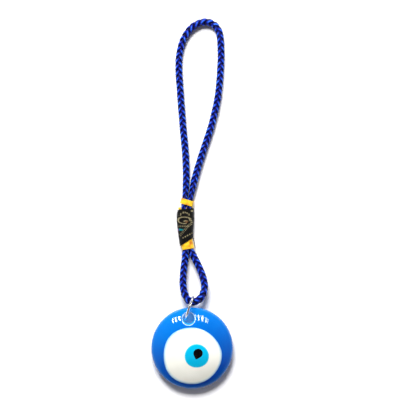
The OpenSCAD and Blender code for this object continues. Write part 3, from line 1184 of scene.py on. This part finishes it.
def drop_mesh(name, drop, frame_of, outline, round_edge, sink):
    """A dome from its pole out to a rounded edge, then down into the glass below and across."""
    fall = round_edge * drop.radius * 0.5
    rows = [(k / DROP_ROWS * (1 - round_edge), 0.0) for k in range(DROP_ROWS + 1)]
    for k in range(1, EDGE_ROWS + 1):
        a = math.pi / 2 * k / EDGE_ROWS
        rows.append((1 - round_edge * (1 - math.sin(a)), fall * (1 - math.cos(a))))
    rows += [(share, fall + sink) for share in BASE_SHARES]

    def point(i, j):
        turn = TURN * j / DROP_AROUND
        share, below = rows[i]
        far = share * outline(turn)
        seat = 1.0 if i >= len(rows) - len(BASE_SHARES) else min(share, 1.0)
        level = drop.height(seat * drop.radius)
        return frame_of @ Vector((far * math.cos(turn), far * math.sin(turn), level - below)) * MM

    mesh = grid_mesh(name, len(rows), DROP_AROUND, point,
                     lambda i, j: (j / DROP_AROUND, i / len(rows)), False, True)
    return closed_poles(mesh)


def closed_poles(mesh):
    """Merges each pole's points into one and turns the faces outwards."""
    work = bmesh.new()
    work.from_mesh(mesh)
    bmesh.ops.remove_doubles(work, verts=work.verts, dist=1e-7)
    bmesh.ops.recalc_face_normals(work, faces=work.faces)
    work.to_mesh(mesh)
    work.free()
    return mesh


piece_of("white_drop", drop_mesh("white", white_drop, to_white, white_outline, 0.045, 0.5),
         white_glass, "eye", "eye_white")
piece_of("light_blue_drop", drop_mesh("iris", iris_drop, to_iris, iris_outline, 0.05, 0.4),
         light_glass, "eye", "eye_iris")
piece_of("black_drop", drop_mesh("pupil", pupil_drop, to_pupil, pupil_outline, 0.08, 0.3),
         black_glass, "eye", "eye_pupil")

# %% [markdown]
# ## Table and light
#
# The table is a sheet of plain white paper. Away from the ornament it takes on a glow of its own,
# so it fades into a white room. Soft light comes from the head of the table and a little from the
# left. A row of small slanting windows there is seen only as reflections: the broken bright bars
# that a glossy dome shows. A dark card leans over the foot of the table, where a person would
# stand. It is hidden from the camera and throws no shadow, and gives the wire its dark streak and
# the glass its depth. The room is dark straight above, where the camera hides the ceiling.

# %% Table, windows and card
TABLE_SIZE = 4.0
TABLE_Z = -0.08 * MM  # just under the lowest strand
GLOW_FROM = 0.3  # metres from the middle
GLOW_RUN = 0.7
CARD_SIZE = (0.9, 0.6)
CARD_AT = (0.0, -0.42, 0.42)
CARD_TILT = math.radians(42)


def flat_piece(name, width, length, place, faces_down=False):
    """A plain rectangle that belongs to the room and not to the ornament."""
    x = width / 2
    y = length / 2
    corners = [(-x, -y, 0), (x, -y, 0), (x, y, 0), (-x, y, 0)]
    mesh = bpy.data.meshes.new(name)
    mesh.from_pydata(corners, [], [(3, 2, 1, 0) if faces_down else (0, 1, 2, 3)])
    made = link(bpy.data.objects.new(name, mesh))
    made.location = place
    return made


def paint_paper(g):
    place = object_place(g)
    grain = noise(g, place, 900.0, 3.0)
    far = g.clamp((g.vector("LENGTH", place) - GLOW_FROM) / GLOW_RUN)
    return {"Base Color": blend_colour(g, grain, (243, 243, 246), (250, 250, 252)),
            "Roughness": 0.95 - grain * 0.05,
            "Emission Color": blend_colour(g, far, (0, 0, 0), (255, 255, 255))}


def paint_card(g):
    return {"Base Color": blend_colour(g, noise(g, object_place(g), 4.0), (46, 30, 22), (60, 42, 32))}


table = flat_piece("table", TABLE_SIZE, TABLE_SIZE, (0, 0, TABLE_Z))
table.data.materials.append(finish_of("white_paper", paint_paper, **{
    "Specular IOR Level": 0.0, "Emission Strength": 0.8}))
card = flat_piece("card", *CARD_SIZE, CARD_AT, faces_down=True)
card.rotation_euler = (CARD_TILT, 0, 0)
card.data.materials.append(finish_of("dark_card", paint_card))
card.visible_camera = False
card.visible_shadow = False

# %% Lights
KEY_AT = (-0.11, 0.58, 0.64)
KEY_POWER = 14.5
BAR_Z = 0.62
BAR_LENGTH = 0.092
BAR_POWER = 11  # watts for each metre of width
BARS = [(-0.322, 0.295, 0.018, -0.6), (-0.268, 0.315, 0.024, -0.42), (-0.206, 0.33, 0.028, -0.3),
        (0.04, 0.34, 0.028, 0.1), (0.1, 0.335, 0.024, 0.25), (0.163, 0.32, 0.026, 0.4),
        (0.216, 0.3, 0.01, 0.5), (0.25, 0.285, 0.006, 0.55)]      # x, y, width and slant


def area_light(name, place, aim_at, width, length, power, roll=0.0):
    data = bpy.data.lights.new(name, "AREA")
    data.shape = "RECTANGLE"
    data.size = width
    data.size_y = length
    data.energy = power
    made = link(bpy.data.objects.new(name, data))
    made.location = place
    turn = (Vector(aim_at) - Vector(place)).to_track_quat("-Z", "Y").to_matrix().to_4x4()
    made.rotation_euler = (turn @ Matrix.Rotation(roll, 4, "Z")).to_euler()
    return made


world = bpy.data.worlds.new("white_room")
world.use_nodes = True
world.node_tree.nodes.clear()
sky = Graph(world.node_tree)
way_up = sky.split(sky.node("ShaderNodeTexCoord", None, None, "Generated"))[2]
room = sky.node("ShaderNodeBackground", None, {
    "Color": (1.0, 1.0, 1.0, 1.0),
    "Strength": sky.clamp(1.0 - way_up.maths("MAXIMUM", 0.0)) ** 1.5 * 0.95 + 0.06})
sky.node("ShaderNodeOutputWorld", None, {"Surface": room})
bpy.context.scene.world = world
bpy.context.scene.view_settings.view_transform = "Standard"

key = area_light("key", KEY_AT, (0, -0.03, 0), 0.46, 0.36, KEY_POWER)
key.visible_glossy = False
for number, (x, y, width, roll) in enumerate(BARS):
    pane = area_light(f"window_{number}", (x, y, BAR_Z), (0, -0.046, 0), width, BAR_LENGTH,
                      width * BAR_POWER, roll)
    pane.visible_diffuse = False
print("lights:", len(BARS) + 1)
